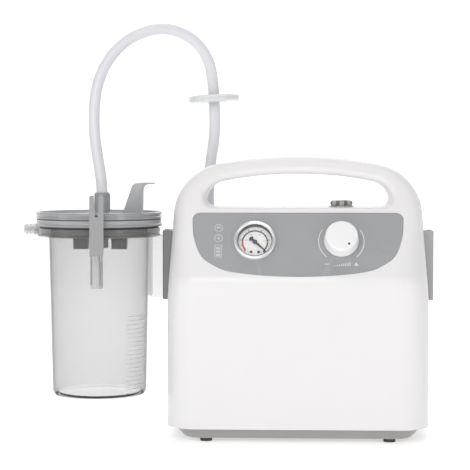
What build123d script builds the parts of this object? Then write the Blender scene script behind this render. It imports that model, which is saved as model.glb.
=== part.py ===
from build123d import *
import math
import os

# Portable suction pump with a hanging one-litre jar. Millimetres, +Z up, front faces -Y.
# The origin is on the floor below the middle of the whole object, jar included.

# ---------------------------------------------------------------- driving dimensions
GAP = 0.3                     # clearance between pieces that move apart
RUN = 0.05                    # radial clearance of a shaft in its hole
WALL = 3.0                    # moulded wall of the casing

CASE_HALF = 153.0             # half width of the casing at its foot
CASE_DEEP = 80.0              # half depth of the casing
CASE_FOOT = 17.0              # height of the casing's lower edge
CASE_TOP = 332.5              # top of the handle
SPLIT_Y = 4.0                 # plane where the front and rear shells meet
PLAN_R = 36.0                 # corner radius seen from above
SLOPE_Z = 190.0               # height where the front starts to lean back
SLOPE_DEG = 28.0              # lean of the control face from the vertical
REAR_DEG = 24.0               # lean of the upper rear face
SADDLE_Z = 272.0              # top of the body under the handle
HANDLE_HALF = 110.0           # half width of the handle opening

FOOT_X, FOOT_Y = 107.0, 55.0  # centres of the rubber feet

BRACKET_OUT = 161.0           # outer face of the side rails
BRACKET_LOW, BRACKET_HIGH = 162.0, 244.0

PANEL_HALF = 123.0
PANEL_V = (4.5, 86.0)         # panel's lower and upper edge along the slope
PANEL_THICK = 2.2
PANEL_SUNK = 0.6
GAUGE_U = -50.0
KNOB_U = 50.5
DIAL_V = 49.8                 # both dials' height along the slope
KNOB_R, KNOB_H = 20.0, 16.0

SWITCH_X, SWITCH_Y = 52.0, -10.0

JAR_X = -239.0                # jar axis, measured from the casing's middle plane
JAR_FOOT, JAR_MOUTH = 46.5, 247.0
JAR_R_LOW, JAR_R_HIGH = 56.5, 60.5
JAR_WALL = 2.5
FLANGE_R, FLANGE_LOW = 74.0, 236.6
LID_R = 76.0
LID_LOW, LID_TOP = 249.0, 266.0
PORT_REACH = 91.0             # end of the patient port from the jar axis
PORT_Z = 244.8
LATCH_DEG = 5.0               # latch position round the lid, from straight ahead
LATCH_PIVOT_R, LATCH_PIVOT_Z = 79.3, 256.0
LUG_R = 2.4                    # round end of the lid's lugs, inside the latches' forks
CONNECTOR_X = 3.7             # hose connector, from the jar axis
CAGE_X, CAGE_R = -3.6, 7.9    # float cage, from the jar axis

HOSE_D = 13.5
INLET_X, INLET_Y, INLET_Z = -110.0, 68.0, 238.0

CRANK_THROW = 3.5
PUMP_X, PUMP_Y, PUMP_Z = 70.0, 12.0, 76.0   # crank centre

# the origin lies midway between the patient port's end and the right rail
CASE_X = (PORT_REACH - JAR_X - BRACKET_OUT) / 2

NODES = {}


def keep(name, shape):
    """Stores one piece, moved from the casing's own frame to the shared one."""
    NODES[name] = Pos(CASE_X, 0, 0) * shape


def cylinder_z(r, low, high, x=0.0, y=0.0):
    return Pos(x, y, (low + high) / 2) * Cylinder(r, high - low)


def cylinder_y(r, low, high, x=0.0, z=0.0):
    return Pos(x, (low + high) / 2, z) * Rot(90, 0, 0) * Cylinder(r, high - low)


def cylinder_x(r, low, high, y=0.0, z=0.0):
    return Pos((low + high) / 2, y, z) * Rot(0, 90, 0) * Cylinder(r, high - low)


def block(x0, x1, y0, y1, z0, z1):
    return Pos((x0 + x1) / 2, (y0 + y1) / 2, (z0 + z1) / 2) * Box(x1 - x0, y1 - y0, z1 - z0)


def turned(points):
    """A solid of revolution about Z from (radius, height) corners."""
    outline = Polyline(*[(r, 0, z) for r, z in points], close=True)
    return revolve(make_face(outline), Axis.Z)


def group(pieces):
    """Identical loose pieces that share one node."""
    return Compound([solid for piece in pieces for solid in piece.solids()])


# ---------------------------------------------------------------- casing
def front_outline(inset):
    """Front view of the casing, drawn inwards by the wall when it bounds the hollow."""
    half = CASE_HALF - inset
    foot = CASE_FOOT - (1.0 if inset else 0.0)
    top = CASE_TOP - inset
    with BuildSketch(Plane.XZ) as sketch:
        with BuildLine():
            Line((0, foot), (half, foot))
            Line((half, foot), (half, 160))
            Line((half, 160), (147 - inset, 268))
            shoulder = (133.5 - inset * 0.8, 301 - inset * 0.6)
            ThreePointArc((147 - inset, 268), shoulder, (104 - inset * 0.4, 321.5 - inset))
            ThreePointArc((104 - inset * 0.4, 321.5 - inset), (52, 330 - inset), (0, top))
            mirror(about=Plane.YZ)
        make_face()
    return sketch.sketch


def handle_outline(grow):
    """The hand opening, grown by the wall when it bounds the hollow."""
    half = HANDLE_HALF + grow
    low = SADDLE_Z - grow
    with BuildSketch(Plane.XZ) as sketch:
        with BuildLine():
            Line((0, low), (half - 9, low))
            ThreePointArc((half - 9, low), (half - 2.6, low + 2.6), (half, low + 9))
            bend = (103.5 + grow * 0.8, 294.5 + grow * 0.6)
            ThreePointArc((half, low + 9), bend, (86 + grow * 0.4, 303.5 + grow))
            ThreePointArc((86 + grow * 0.4, 303.5 + grow), (45, 309.6 + grow), (0, 311.4 + grow))
            mirror(about=Plane.YZ)
        make_face()
    return sketch.sketch


def plan_section(z, inset):
    """Rounded rectangle of the casing at one height."""
    rise = max(0.0, z - SLOPE_Z)
    front = -CASE_DEEP + inset * (2.0 if z > CASE_FOOT else 1.0) + rise * math.tan(math.radians(SLOPE_DEG))
    rear = CASE_DEEP - inset - rise * math.tan(math.radians(REAR_DEG))
    corner = min(PLAN_R - inset, (rear - front) / 2 - 0.8)
    return Pos(0, (front + rear) / 2, z) * RectangleRounded(2 * (CASE_HALF - inset), rear - front, corner)


def casing_block(inset):
    foot = CASE_FOOT - (1.0 if inset else 0.0)
    lower = loft([plan_section(foot, inset), plan_section(SLOPE_Z, inset)], ruled=True)
    upper = loft([plan_section(SLOPE_Z, inset), plan_section(CASE_TOP + 6, inset)], ruled=True)
    rounded = (lower + upper) & extrude(front_outline(inset), 2 * CASE_DEEP, both=True)
    return rounded - extrude(handle_outline(inset), 2 * CASE_DEEP, both=True)


slope_out = (0, -math.cos(math.radians(SLOPE_DEG)), math.sin(math.radians(SLOPE_DEG)))
SLOPE = Plane(origin=(0, -CASE_DEEP, SLOPE_Z), x_dir=(1, 0, 0), z_dir=slope_out)


def on_slope(shape, u=0.0, v=0.0, out=0.0):
    """Places a piece built along +Z on the control face."""
    return SLOPE.location * Pos(u, v, out) * shape


def slope_disc(r, low, high, u, v=DIAL_V):
    return on_slope(Pos(0, 0, (low + high) / 2) * Cylinder(r, high - low), u, v)


def panel_outline(grow):
    low, high = PANEL_V[0] - grow, PANEL_V[1] + grow
    half = PANEL_HALF + grow
    with BuildSketch() as sketch:
        with BuildLine():
            Line((0, high), (half - 9, high))
            ThreePointArc((half - 9, high), (half - 2.6, high - 2.6), (half, high - 9))
            side = [(half, high - 9), (half - 3, 51), (105 + grow, 20.5 - grow * 0.5), (68, 8.9 - grow)]
            Spline(*side, (0, low), tangents=[(0, -1), (-1, 0)])
            mirror(about=Plane.YZ)
        make_face()
    return sketch.sketch


BOARD_Y = 56.0
BOARD_POSTS = [(x, z) for x in (-57, 29) for z in (133, 183)]
POST_SPOTS = [(x, z) for x in (-126, 126) for z in (42, 150)]
SCREW_SEAT = 77.2             # depth of the casing screws' counterbores in the rear shell
SILENCER_SPOT = (96.0, 52.0)
DC_SPOT = (-96.0, 48.0)


def make_shells(outside):
    hollow = casing_block(WALL)
    shell = outside - hollow
    posts = []
    for x, z in POST_SPOTS:
        shell -= cylinder_y(3.7, SCREW_SEAT, CASE_DEEP + 1, x, z) + cylinder_y(1.8, 70, CASE_DEEP, x, z)
        post = cylinder_y(5.5, -CASE_DEEP, CASE_DEEP, x, z) - cylinder_y(1.6, 62, CASE_DEEP, x, z)
        posts.append(post & hollow)
    for x, z in BOARD_POSTS:
        posts.append(cylinder_y(3, BOARD_Y + 1.6, CASE_DEEP, x, z) & hollow)
    keep("standoffs", group(posts))
    pocket = on_slope(extrude(panel_outline(GAP), 3), out=-PANEL_SUNK - PANEL_THICK)
    shell -= pocket
    shell -= slope_disc(21.9, -12, 2, GAUGE_U)
    shell -= slope_disc(5.1, -12, 2, KNOB_U)
    shell -= cylinder_z(10.2, 262, 274, SWITCH_X, SWITCH_Y)
    shell -= cylinder_y(4.6, 40, 75, INLET_X, INLET_Z)
    shell -= cylinder_y(9.0, 70, 82, *SILENCER_SPOT)
    shell -= cylinder_y(5.5, 70, 82, *DC_SPOT)
    front_side = block(-200, 200, -200, SPLIT_Y, 0, 400)
    rear_side = block(-200, 200, SPLIT_Y, 200, 0, 400)
    keep("front_shell", shell & front_side)
    keep("rear_shell", shell & rear_side)
    screws = []
    for x, z in POST_SPOTS:
        head = cylinder_y(3.4, SCREW_SEAT, SCREW_SEAT + 1.5, x, z)
        head -= cylinder_y(1.3, SCREW_SEAT + 0.6, CASE_DEEP, x, z)
        screws.append(head + cylinder_y(1.6, 62, SCREW_SEAT, x, z))
    keep("casing_screws", group(screws))


def make_base():
    def level(z, half_x, half_y, corner):
        return Pos(0, 0, z) * RectangleRounded(2 * half_x, 2 * half_y, corner)

    top = CASE_FOOT
    outer = loft([level(5, 133, 67, 22), level(top, 145, 74, 30)], ruled=True)
    inner = loft([level(8, 130, 64, 19), level(top, 142, 71, 27)], ruled=True)
    tray = outer - inner
    lip = extrude(level(top - 0.5, 149.7, 76.7, 32.7), 5.5) - extrude(level(top - 1, 142, 71, 27), 7)
    tray += lip - block(-200, 200, -200, 200, 0, top) + (lip & extrude(level(top - 1, 144.5, 73.5, 29.5), 7))
    feet = []
    for x in (-FOOT_X, FOOT_X):
        for y in (-FOOT_Y, FOOT_Y):
            tray += cylinder_z(9.25, 4, 8, x, y)
            tray -= cylinder_z(2.5, 3, 7, x, y)
            feet.append(cylinder_z(7, 0, 4, x, y) + cylinder_z(2.5, 4, 7, x, y))
    keep("rubber_feet", group(feet))
    for x, y in MOUNT_SPOTS:
        tray -= cylinder_z(2.0, 4, 9, x, y)
    keep("base_tray", tray)


def make_panel():
    plate = on_slope(extrude(panel_outline(0), PANEL_THICK), out=-PANEL_SUNK - PANEL_THICK)
    plate -= slope_disc(21.9, -6, 2, GAUGE_U)
    plate -= slope_disc(5.1, -6, 2, KNOB_U)
    pane = extrude(RectangleRounded(15, 46, 4), 0.8)
    window = on_slope(Pos(-92.5, DIAL_V, -PANEL_SUNK - 0.8) * pane)
    keep("control_panel", plate - window)
    keep("indicator_window", window)


def rail(outside):
    """One T-slot rail on the right-hand side of the casing."""
    body = block(140, BRACKET_OUT, -19, 19, BRACKET_LOW, BRACKET_HIGH)
    body = fillet(body.edges().filter_by(Axis.Z).sort_by(Axis.X)[-2:], 3)
    body -= outside
    body -= block(154.2, 158.8, -12.5, 12.5, BRACKET_LOW + 3, BRACKET_HIGH + 5)
    body -= block(158, BRACKET_OUT + 1, -5, 5, BRACKET_LOW + 3, BRACKET_HIGH + 5)
    return body


def make_rails(outside):
    right = rail(outside)
    keep("side_rail_right", right)
    keep("side_rail_left", mirror(right, about=Plane.YZ))


# ---------------------------------------------------------------- gauge, regulator and switch
def make_gauge():
    tube = slope_disc(21.5, -26, 1.4, GAUGE_U) - slope_disc(20.3, -5, 2, GAUGE_U)
    tube -= slope_disc(18.5, -24, 0, GAUGE_U)
    stem = slope_disc(5, -34, -26, GAUGE_U) - slope_disc(2, -35, -20, GAUGE_U)
    keep("gauge_case", tube + stem)
    ring = slope_disc(24.5, -PANEL_SUNK, 4.4, GAUGE_U)
    ring = fillet(ring.edges().filter_by(GeomType.CIRCLE).sort_by(Axis.Z)[-1:], 1.2)
    ring -= slope_disc(21.7, -1, 2.8, GAUGE_U)
    ring -= slope_disc(20.2, 2, 5, GAUGE_U)
    keep("gauge_bezel", ring)
    keep("gauge_lens", slope_disc(21.5, 1.5, 2.7, GAUGE_U))
    spindle_r = 0.8
    dial = slope_disc(20.2, -5, -4, GAUGE_U) - slope_disc(spindle_r + RUN, -6, -3, GAUGE_U)
    screws = []
    for side in (-1, 1):
        spot = (GAUGE_U + side * 4.4, DIAL_V - 12.4)
        dial -= slope_disc(0.6, -6, -3, *spot)
        screws.append(slope_disc(0.6, -5, -4, *spot) + slope_disc(1.0, -4, -3.3, *spot))
    keep("gauge_dial", group([dial, *screws]))     # with the needle's two stop screws
    needle_rest = -43.0
    blade = Polyline((-7.5, 0), (-4.5, 2.2), (-4.9, 0.7), (0, 0.9), (15.5, 0.25), (15.5, -0.25), (0, -0.9),
                     (-4.9, -0.7), (-4.5, -2.2), close=True)
    needle = Rot(0, 0, needle_rest) * extrude(make_face(blade), 0.7)
    needle = on_slope(needle + Pos(0, 0, 0.5) * Cylinder(2.1, 1.0), GAUGE_U, DIAL_V, -2.7)
    keep("gauge_needle", needle + slope_disc(spindle_r, -8, -2.5, GAUGE_U))


def make_regulator():
    low = -PANEL_SUNK + 0.4
    knob = on_slope(Pos(0, 0, low) * extrude(Circle(KNOB_R), KNOB_H, taper=4.6), KNOB_U, DIAL_V)
    knob = fillet(knob.edges().filter_by(GeomType.CIRCLE).sort_by(Axis.Z)[-1:], 1.5)
    knob -= slope_disc(14, low - 1, 5.5, KNOB_U)
    knob -= slope_disc(3.0, 5, 12, KNOB_U)
    pointer = on_slope(Rot(0, 0, -40) * Pos(14.2, 0, KNOB_H + low - 0.5) * Cylinder(0.9, 1.2), KNOB_U, DIAL_V)
    keep("regulator_knob", knob - pointer)
    keep("regulator_spindle", slope_disc(3.0, -20, 12, KNOB_U))
    valve = slope_disc(10, -32, -6.4, KNOB_U) + slope_disc(5.0, -6.4, 3.6, KNOB_U)
    valve -= slope_disc(3.0 + RUN, -20.4, 4, KNOB_U)
    keep("regulator_body", valve)
    nut = on_slope(Pos(0, 0, -PANEL_SUNK) * extrude(RegularPolygon(8.5, 6), 2.6), KNOB_U, DIAL_V)
    keep("regulator_nut", nut - slope_disc(5.0, -2, 4, KNOB_U))


SWITCH_PIVOT_Z = 271.0
SWITCH_TILT = 10.0


def make_switch():
    x, y = SWITCH_X, SWITCH_Y
    body = cylinder_z(10, 246, 274, x, y) + cylinder_z(12.8, SADDLE_Z, 274, x, y)
    body -= cylinder_z(9.3, 265.8, 275, x, y)
    body -= cylinder_y(1.2 + RUN, y - 9.9, y + 9.9, x, SWITCH_PIVOT_Z)
    for side in (-1, 1):
        body += block(x + side * 4 - 1, x + side * 4 + 1, y - 3, y + 3, 238, 246)
    keep("switch_body", body)
    cap = block(-8, 8, -5, 5, -3, 6.2)
    cap = fillet(cap.edges().filter_by(Axis.Z), 2.5) + Rot(90, 0, 0) * Cylinder(1.2, 19.4)
    keep("switch_rocker", Pos(x, y, SWITCH_PIVOT_Z) * Rot(0, SWITCH_TILT, 0) * cap)
    boot = turned([(13.0, 272), (14.6, 272), (14.2, 273.4), (13.4, 277.4), (11.6, 280.2), (0, 281), (0, 279.9),
                   (10.6, 279.2), (12.2, 277.0), (13.0, 274.2)])
    keep("switch_boot", Pos(x, y, 0) * boot)


# ---------------------------------------------------------------- rear fittings
def make_rear_fittings():
    elbow = cylinder_y(4.5, 44, INLET_Y, INLET_X, INLET_Z) + Pos(INLET_X, INLET_Y, INLET_Z) * Sphere(6.5)
    elbow += cylinder_y(9.5, INLET_Y - 6.5, INLET_Y - 4.0, INLET_X, INLET_Z)
    elbow += cylinder_y(7.0, 60, INLET_Y, INLET_X, INLET_Z)
    elbow += cylinder_z(6.5, INLET_Z, INLET_Z + 10, INLET_X, INLET_Y)
    elbow -= NODES["rear_shell"].moved(Location((-CASE_X, 0, 0)))
    elbow -= cylinder_y(2.5, 43, INLET_Y, INLET_X, INLET_Z)
    elbow -= cylinder_z(2.5, INLET_Z, INLET_Z + 11, INLET_X, INLET_Y)
    keep("vacuum_inlet", max(elbow.solids(), key=lambda s: s.volume))
    x, z = SILENCER_SPOT
    silencer = cylinder_y(8.9, 52, 79, x, z) - cylinder_y(6.5, 55, 80, x, z)
    for turn in range(3):
        silencer += Pos(x, 77, z) * Rot(0, 60 * turn, 0) * Box(13.4, 2, 1.6)
    keep("exhaust_silencer", silencer)
    x, z = DC_SPOT
    socket = cylinder_y(5.4, 60, 79.4, x, z) - cylinder_y(3.6, 68, 80, x, z)
    keep("dc_inlet", socket + cylinder_y(1.0, 67, 77, x, z))


# ---------------------------------------------------------------- pump and electrics
MOUNT_SPOTS = [(x, y) for x in (-38, 92) for y in (-24, 40)]
MOTOR_END = 46.0              # end of the motor nearest the crank
MOTOR_LONG = 78.0
SHAFT_R = 3.0


def make_motor():
    far = MOTOR_END - MOTOR_LONG
    can = cylinder_x(31, far, MOTOR_END, PUMP_Y, PUMP_Z)
    can -= cylinder_x(29, far + 3, MOTOR_END - 3, PUMP_Y, PUMP_Z)
    can -= cylinder_x(6.5, far - 1, MOTOR_END + 1, PUMP_Y, PUMP_Z)
    keep("motor_can", can)
    rings = []
    for low in (far, MOTOR_END - 3):
        ring = cylinder_x(6.5, low, low + 3, PUMP_Y, PUMP_Z)
        rings.append(ring - cylinder_x(SHAFT_R + RUN, low - 1, low + 4, PUMP_Y, PUMP_Z))
    keep("motor_bearings", group(rings))
    core = cylinder_x(SHAFT_R, far - 16, PUMP_X - 4, PUMP_Y, PUMP_Z)
    keep("motor_shaft", core)
    armature = cylinder_x(20, far + 10, MOTOR_END - 10, PUMP_Y, PUMP_Z)
    keep("armature", armature - cylinder_x(SHAFT_R, far, MOTOR_END, PUMP_Y, PUMP_Z))
    magnets = cylinder_x(29, far + 8, MOTOR_END - 8, PUMP_Y, PUMP_Z)
    magnets -= cylinder_x(21, far + 7, MOTOR_END - 7, PUMP_Y, PUMP_Z)
    keep("motor_magnets", magnets - block(-60, 60, PUMP_Y - 6, PUMP_Y + 6, 0, 200))
    fan = cylinder_x(8, far - 14, far - 4, PUMP_Y, PUMP_Z)
    for turn in range(7):
        vane = Pos(0, 0, 17) * Rot(0, 0, 35) * Box(1.6, 8, 22)
        blade = Pos(far - 9, 0, 0) * Rot(360 / 7 * turn, 0, 0) * vane
        fan += Pos(0, PUMP_Y, PUMP_Z) * blade
    keep("cooling_fan", fan - cylinder_x(SHAFT_R, far - 15, far, PUMP_Y, PUMP_Z))


def make_crank():
    disc_low, disc_high = PUMP_X - 12, PUMP_X - 4
    disc = cylinder_x(14, disc_low, disc_high, PUMP_Y, PUMP_Z)
    disc -= cylinder_x(SHAFT_R, disc_low - 1, disc_high + 1, PUMP_Y, PUMP_Z)
    disc += cylinder_x(4, disc_high, PUMP_X + 7, PUMP_Y, PUMP_Z + CRANK_THROW)
    keep("crank_disc", disc)
    pin_z = PUMP_Z + CRANK_THROW
    rod_low, rod_high = PUMP_X - 3, PUMP_X + 6
    bearing = cylinder_x(8, rod_low, rod_high, PUMP_Y, pin_z) - cylinder_x(4 + RUN, 0, 100, PUMP_Y, pin_z)
    keep("big_end_bearing", bearing)
    rod = cylinder_x(12, rod_low, rod_high, PUMP_Y, pin_z)
    rod += block(rod_low, rod_high, PUMP_Y - 5, PUMP_Y + 5, pin_z, pin_z + 39)
    rod -= cylinder_x(8, 0, 100, PUMP_Y, pin_z)
    middle = PUMP_X + 1.5
    rod += cylinder_z(17, pin_z + 36, pin_z + 40, middle, PUMP_Y)
    keep("piston_rod", rod)
    keep("piston_cup", cylinder_z(18.5, pin_z + 40, pin_z + 42, middle, PUMP_Y))


def make_pump_body():
    middle = PUMP_X + 1.5
    frame_top = 30.0
    plate = block(-48, 102, PUMP_Y - 46, PUMP_Y + 46, frame_top - 3, frame_top)
    cradle = block(-24, 38, PUMP_Y - 16, PUMP_Y + 16, frame_top, 60)
    cradle -= cylinder_x(31, -60, 60, PUMP_Y, PUMP_Z)
    cradle -= block(-20, 34, PUMP_Y - 12, PUMP_Y + 12, frame_top, 70)
    frame = plate + cradle
    crankcase = block(MOTOR_END, 96, PUMP_Y - 24.5, PUMP_Y + 24.5, frame_top, 104)
    crankcase -= block(MOTOR_END + 4, 92, PUMP_Y - 20.5, PUMP_Y + 20.5, frame_top + 4, 100)
    crankcase -= cylinder_z(19.5, 90, 110, middle, PUMP_Y)
    crankcase -= cylinder_x(8, MOTOR_END - 1, MOTOR_END + 5, PUMP_Y, PUMP_Z)
    keep("crankcase", crankcase)
    barrel = cylinder_z(25.3, 104, 128, middle, PUMP_Y) - cylinder_z(22.6, 103, 129, middle, PUMP_Y)
    keep("cylinder", barrel)
    ports = cylinder_z(2, 127, 132, middle - 8, PUMP_Y) + cylinder_z(2, 127, 132, middle + 8, PUMP_Y)
    screw_spots = [(middle + dx, PUMP_Y + dy) for dx in (-21, 21) for dy in (-21, 21)]
    valve_plate = block(middle - 26, middle + 26, PUMP_Y - 26, PUMP_Y + 26, 128, 131) - ports
    head = block(middle - 26, middle + 26, PUMP_Y - 26, PUMP_Y + 26, 131, 146)
    head = fillet(head.edges().filter_by(Axis.Z), 5)
    head -= block(middle - 15, middle - 2, PUMP_Y - 12, PUMP_Y + 12, 130, 141)
    head -= block(middle + 2, middle + 15, PUMP_Y - 12, PUMP_Y + 12, 130, 141)
    head += cylinder_x(4, middle - 34, middle - 26, PUMP_Y, 136)
    head -= cylinder_x(2, middle - 35, middle - 10, PUMP_Y, 136)
    screws = []
    for x, y in screw_spots:
        valve_plate -= cylinder_z(1.8, 127, 132, x, y)
        head -= cylinder_z(1.8, 130, 147, x, y)
        screws.append(cylinder_z(1.8, 128, 146, x, y) + cylinder_z(3.4, 146, 149, x, y))
    keep("valve_plate", valve_plate)
    keep("cylinder_head", head)
    keep("head_screws", group(screws))
    mounts = []
    for x, y in MOUNT_SPOTS:
        frame -= cylinder_z(2, 20, 40, x, y)
        buffer = cylinder_z(7, 8, frame_top - 3, x, y) + cylinder_z(2, 5, frame_top + 3, x, y)
        mounts.append(buffer)
    keep("pump_frame", frame)
    keep("pump_mounts", group(mounts))


def make_electrics():
    pack = block(-116, -54, -34, 42, 8, 88)
    pack = fillet(pack.edges().filter_by(Axis.X), 5)
    keep("battery_pack", pack)
    board_y = BOARD_Y
    board = block(-62, 34, board_y, board_y + 1.6, 128, 188)
    chips = ((-50, 140, 14, 10, 6), (-20, 150, 10, 18, 9), (8, 165, 12, 12, 5), (20, 138, 8, 8, 12))
    for x, z, wide, tall, deep in chips:
        board += block(x, x + wide, board_y - deep, board_y, z, z + tall)
    keep("control_board", board)


def make_inner_pipes():
    middle = PUMP_X + 1.5
    route = [(middle - 34, PUMP_Y, 136), (middle - 55, PUMP_Y, 136), (-30, 22, 200), (-80, 34, 236),
             (INLET_X, 26, INLET_Z), (INLET_X, 44, INLET_Z)]
    path = FilletPolyline(*route, radius=6)
    keep("vacuum_pipe", sweep((path ^ 0) * Circle(3.5), path))
    local = [(GAUGE_U, DIAL_V, -34), (GAUGE_U, DIAL_V, -46), (0, DIAL_V - 12, -52)]
    local += [(KNOB_U, DIAL_V, -46), (KNOB_U, DIAL_V, -32)]
    route = [SLOPE.from_local_coords(spot) for spot in local]
    path = FilletPolyline(*route, radius=5)
    keep("gauge_pipe", sweep((path ^ 0) * Circle(2.4), path))


# ---------------------------------------------------------------- jar
def at_jar(shape):
    return Pos(JAR_X, 0, 0) * shape


def make_jar():
    low, high = JAR_R_LOW, JAR_R_HIGH
    vessel = turned([(0, JAR_FOOT), (low - 3.5, JAR_FOOT), (low - 1, JAR_FOOT + 1), (low, JAR_FOOT + 3.5),
                     (high, FLANGE_LOW), (FLANGE_R, FLANGE_LOW), (FLANGE_R, JAR_MOUTH),
                     (high - JAR_WALL, JAR_MOUTH), (low - JAR_WALL, JAR_FOOT + 5),
                     (low - JAR_WALL - 2, JAR_FOOT + JAR_WALL), (0, JAR_FOOT + JAR_WALL)])
    rail_x = -JAR_X
    web = block(59, rail_x - 158.5 + 1, -2.5, 2.5, BRACKET_LOW + 3 + GAP, 238)
    web += block(59, rail_x - BRACKET_OUT - 1, -2.5, 2.5, BRACKET_LOW, 238)
    head = block(rail_x - 158.5, rail_x - 154.5, -12.2, 12.2, BRACKET_LOW + 3 + GAP, 238)
    brace = block(59, 64, -9, 9, BRACKET_LOW + 3 + GAP, 238)
    cavity = turned([(0, JAR_FOOT + JAR_WALL), (low - JAR_WALL - 2, JAR_FOOT + JAR_WALL),
                     (low - JAR_WALL, JAR_FOOT + 5), (high - JAR_WALL, JAR_MOUTH), (0, JAR_MOUTH)])
    stub = cylinder_x(5.2, -PORT_REACH, -FLANGE_R - 2.6, 0, PORT_Z)
    for step in range(3):
        barb_x = -PORT_REACH + 1.5 + 4.5 * step
        stub += cylinder_x(7.0, barb_x, barb_x + 2.5, 0, PORT_Z)
    stub += block(-FLANGE_R - 4, -FLANGE_R + 3, -6, 6, FLANGE_LOW + 1.5, JAR_MOUTH)
    hanger = web + head + brace - cavity
    jar = vessel + hanger + stub
    jar -= cylinder_x(2.2, -PORT_REACH - 1, -JAR_R_LOW + 4, 0, PORT_Z - 2.5)
    keep("jar", at_jar(jar))


def make_lid():
    lid = turned([(0, 258.5), (54, 258.5), (54, 240), (57, 240), (57, LID_LOW), (LID_R - 1, LID_LOW),
                  (LID_R, LID_LOW + 1), (LID_R, LID_TOP - 1), (LID_R - 1, LID_TOP), (72.5, LID_TOP), (72.5, 262),
                  (0, 262)])
    web_outline = Polyline((28, 262), (41, 298), (44, 300.6), (68, 301.0), (68, 298.4), (56, 297), (53, 293),
                           (53, 262), close=True)
    hook = extrude(Plane.XZ * make_face(web_outline), 7, both=True)
    for low_x, high_x in ((-32, -12), (14, 35)):
        middle_x = (low_x + high_x) / 2
        socket = Pos(middle_x, 0, 221) * extrude(Rectangle(high_x - low_x - 3, 17), 38, taper=-2.0)
        lid += socket - (Pos(middle_x, 0, 220) * extrude(Rectangle(high_x - low_x - 8, 11), 34))
    for angle in latch_angles():
        pivot = Pos(LATCH_PIVOT_R, 0, LATCH_PIVOT_Z) * Rot(90, 0, 0)
        lug = block(LID_R - 1.5, LATCH_PIVOT_R, -5.4, 5.4, LATCH_PIVOT_Z - LUG_R, LATCH_PIVOT_Z + LUG_R)
        lug += pivot * Cylinder(LUG_R, 10.8)
        lug -= pivot * Cylinder(1.25, 20)
        lid += Rot(0, 0, angle) * lug
    lid -= cylinder_z(4, 250, 270, CONNECTOR_X, 0)
    lid += hook
    keep("jar_lid", at_jar(lid))
    gasket = turned([(58.5, JAR_MOUTH), (71.5, JAR_MOUTH), (71.5, LID_LOW), (58.5, LID_LOW)])
    keep("lid_gasket", at_jar(gasket))


def latch_angles():
    """Directions of the two latches round the jar axis, in degrees from +X."""
    return (-90 + LATCH_DEG, 90 + LATCH_DEG)


def make_latches():
    pins = []
    for name, angle in zip(("latch_front", "latch_rear"), latch_angles()):
        pivot = Pos(LATCH_PIVOT_R, 0, LATCH_PIVOT_Z)
        lever = block(82, 84.4, -8.1, 8.1, 217, 287)
        lever = fillet(lever.edges().filter_by(Axis.X), 2)
        slot = Polyline((81, -3, 288), (81, 3, 288), (81, 1.6, 262), (81, -1.6, 262), close=True)
        lever -= extrude(make_face(slot), 5, dir=(1, 0, 0))
        for side in (-1, 1):
            lever += block(78.3, 82, side * 6.9 - 1.2, side * 6.9 + 1.2, 250, 262)
        lever -= pivot * Rot(90, 0, 0) * Cylinder(1.25 + RUN, 20)
        lever += block(71.5, 82, -7, 7, FLANGE_LOW - 3.8, FLANGE_LOW - GAP)
        keep(name, at_jar(Rot(0, 0, angle) * lever))
        pins.append(at_jar(Rot(0, 0, angle) * pivot * Rot(90, 0, 0) * Cylinder(1.25, 16.2)))
    keep("latch_pins", group(pins))


def make_lid_fittings():
    cuff = cylinder_z(8.9, 262, 289, CONNECTOR_X, 0)
    for turn in range(12):
        rib = Pos(CONNECTOR_X, 0, 278) * Rot(0, 0, 30 * turn) * Pos(8.9, 0, 0) * Box(1.0, 1.2, 20)
        cuff += rib
    cuff -= cylinder_z(HOSE_D / 2 + 0.2, 279, 290, CONNECTOR_X, 0)
    cuff -= cylinder_z(4, 261, 280, CONNECTOR_X, 0)
    keep("hose_connector", at_jar(cuff))
    cage = cylinder_z(CAGE_R, 173, 258.5, CAGE_X, 0) - cylinder_z(CAGE_R - 1.5, 174.5, 260, CAGE_X, 0)
    cage -= cylinder_z(4, 172, 176, CAGE_X, 0)
    for turn in range(2):
        cage -= Pos(CAGE_X, 0, 196) * Rot(0, 0, 45 + 90 * turn) * Box(30, 4.4, 36)
    cage += cylinder_z(CAGE_R - 1.5, 219, 221.5, CAGE_X, 0) - cylinder_z(3.4, 218, 223, CAGE_X, 0)
    keep("float_cage", at_jar(cage))
    keep("float", at_jar(cylinder_z(CAGE_R - 2.6, 174.5 + GAP, 206, CAGE_X, 0)))


# ---------------------------------------------------------------- hoses and filter
FILTER_AT = (-103.0, 52.0, 403.5)     # centre of the filter
FILTER_TILT = 3.5                     # its right-hand side is higher
FILTER_R = 31.0

HOSE_LONG = [
    (-235.3, 0, 279), (-235.3, 0, 297), (-239.5, 4, 322), (-245.5, 8, 356), (-246.8, 13, 394),
    (-241.5, 19, 428), (-226, 26, 458), (-200, 33, 481), (-164, 39, 491), (-131, 45, 480),
    (-110, 50, 455), (-104.4, 52, 427), (-103.3, 52, 408.9),
]
HOSE_SHORT = [
    (-102.7, 52, 398.1), (-101.6, 52, 380), (-103, 58, 353), (-108.5, 63.5, 322), (-110.5, 67, 292),
    (-110, 68, 265), (-110, 68, 248),
]


def tube(points):
    """Straight runs joined by tangent arcs, each as large as its two runs allow."""
    corners = [Vector(*p) for p in points]
    radii = []
    for before, here, after in zip(corners, corners[1:], corners[2:]):
        turn = math.radians((here - before).get_angle(after - here))
        shorter = min((here - before).length, (after - here).length)
        radii.append(0.45 * shorter / math.tan(turn / 2))
    path = FilletPolyline(*corners, radius=radii)
    solid = sweep((path ^ 0) * Circle(HOSE_D / 2), path)
    print("radii", [round(r) for r in radii], "length", round(path.length, 1),
          "volume / (section x length)", round(solid.volume / (path.length * math.pi * HOSE_D ** 2 / 4), 4))
    return solid


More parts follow.
